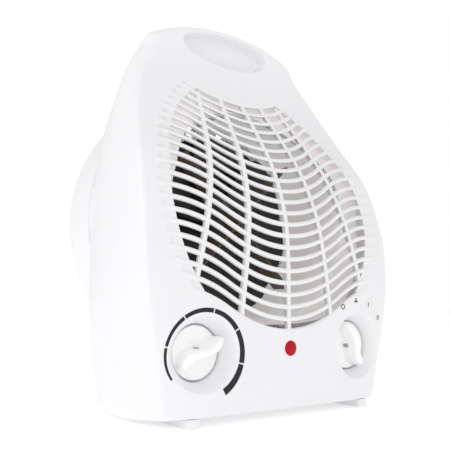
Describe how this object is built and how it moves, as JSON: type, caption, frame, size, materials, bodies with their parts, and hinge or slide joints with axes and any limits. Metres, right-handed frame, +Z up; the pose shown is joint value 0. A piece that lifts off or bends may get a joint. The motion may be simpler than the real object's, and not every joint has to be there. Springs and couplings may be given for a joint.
{
  "type": "fan convector heater",
  "caption": "Upright white fan heater: domed front grille over a heating element and fan, round rear drum, top finger scoop, two front dials and a red indicator.",
  "frame": {"origin": "middle of the footprint on the surface that the heater stands on", "axes": "+Z up, the grille and dials face -Y, +X to the right seen from the front"},
  "size_m": [0.202, 0.115, 0.2585],
  "materials": {
    "casing": "white moulded ABS, satin gloss",
    "knob": "white moulded ABS, satin gloss",
    "steel": "rolled steel",
    "zinc": "zinc plated",
    "nylon": "natural nylon",
    "mica": "pressed mica board",
    "resistance_wire": "oxidised resistance wire",
    "black_plastic": "black moulded plastic",
    "copper": "enamelled copper winding",
    "red_lens": "clear red polycarbonate",
    "neon_glass": "clear glass"
  },
  "bodies": {
    "housing": {"front_cover": "casing", "rear_cover": "casing", "foot_left": "casing", "foot_right": "casing", "thermostat_body": "nylon", "selector_switch_body": "nylon", "heater_duct": "steel", "mica_card_rising": "mica", "mica_card_falling": "mica", "heating_winding_1": "resistance_wire", "heating_winding_2": "resistance_wire", "heating_winding_3": "resistance_wire", "heating_winding_4": "resistance_wire", "motor_stator": "zinc", "motor_coil": "copper", "bearing_bracket_front": "steel", "bearing_bracket_rear": "steel", "indicator_lens": "red_lens", "neon_tube": "neon_glass", "lamp_sleeve": "nylon", "thermal_cutout": "zinc", "terminal_block": "nylon", "cord_gland": "black_plastic", "cover_screw_1": "zinc", "cover_screw_2": "zinc", "cover_screw_3": "zinc", "cover_screw_4": "zinc", "motor_screw_1": "zinc", "motor_screw_2": "zinc"},
    "thermostat_dial": {"thermostat_knob": "knob", "thermostat_spindle": "steel"},
    "selector_dial": {"selector_knob": "knob", "selector_spindle": "steel"},
    "fan_rotor": {"fan_impeller": "black_plastic", "motor_shaft": "steel", "motor_rotor": "zinc"}
  },
  "joints": [
    {"name": "thermostat_turn", "type": "hinge", "parent": "housing", "child": "thermostat_dial", "pos_m": [-0.0605, -0.04, 0.0398], "axis": [0, 1, 0], "range_deg": [-184, 93]},
    {"name": "selector_turn", "type": "hinge", "parent": "housing", "child": "selector_dial", "pos_m": [0.0605, -0.04, 0.0398], "axis": [0, 1, 0], "range_deg": [0, 82]},
    {"name": "fan_spin", "type": "hinge", "parent": "housing", "child": "fan_rotor", "pos_m": [0, 0.023, 0.1206], "axis": [0, 1, 0], "continuous": true}
  ]
}
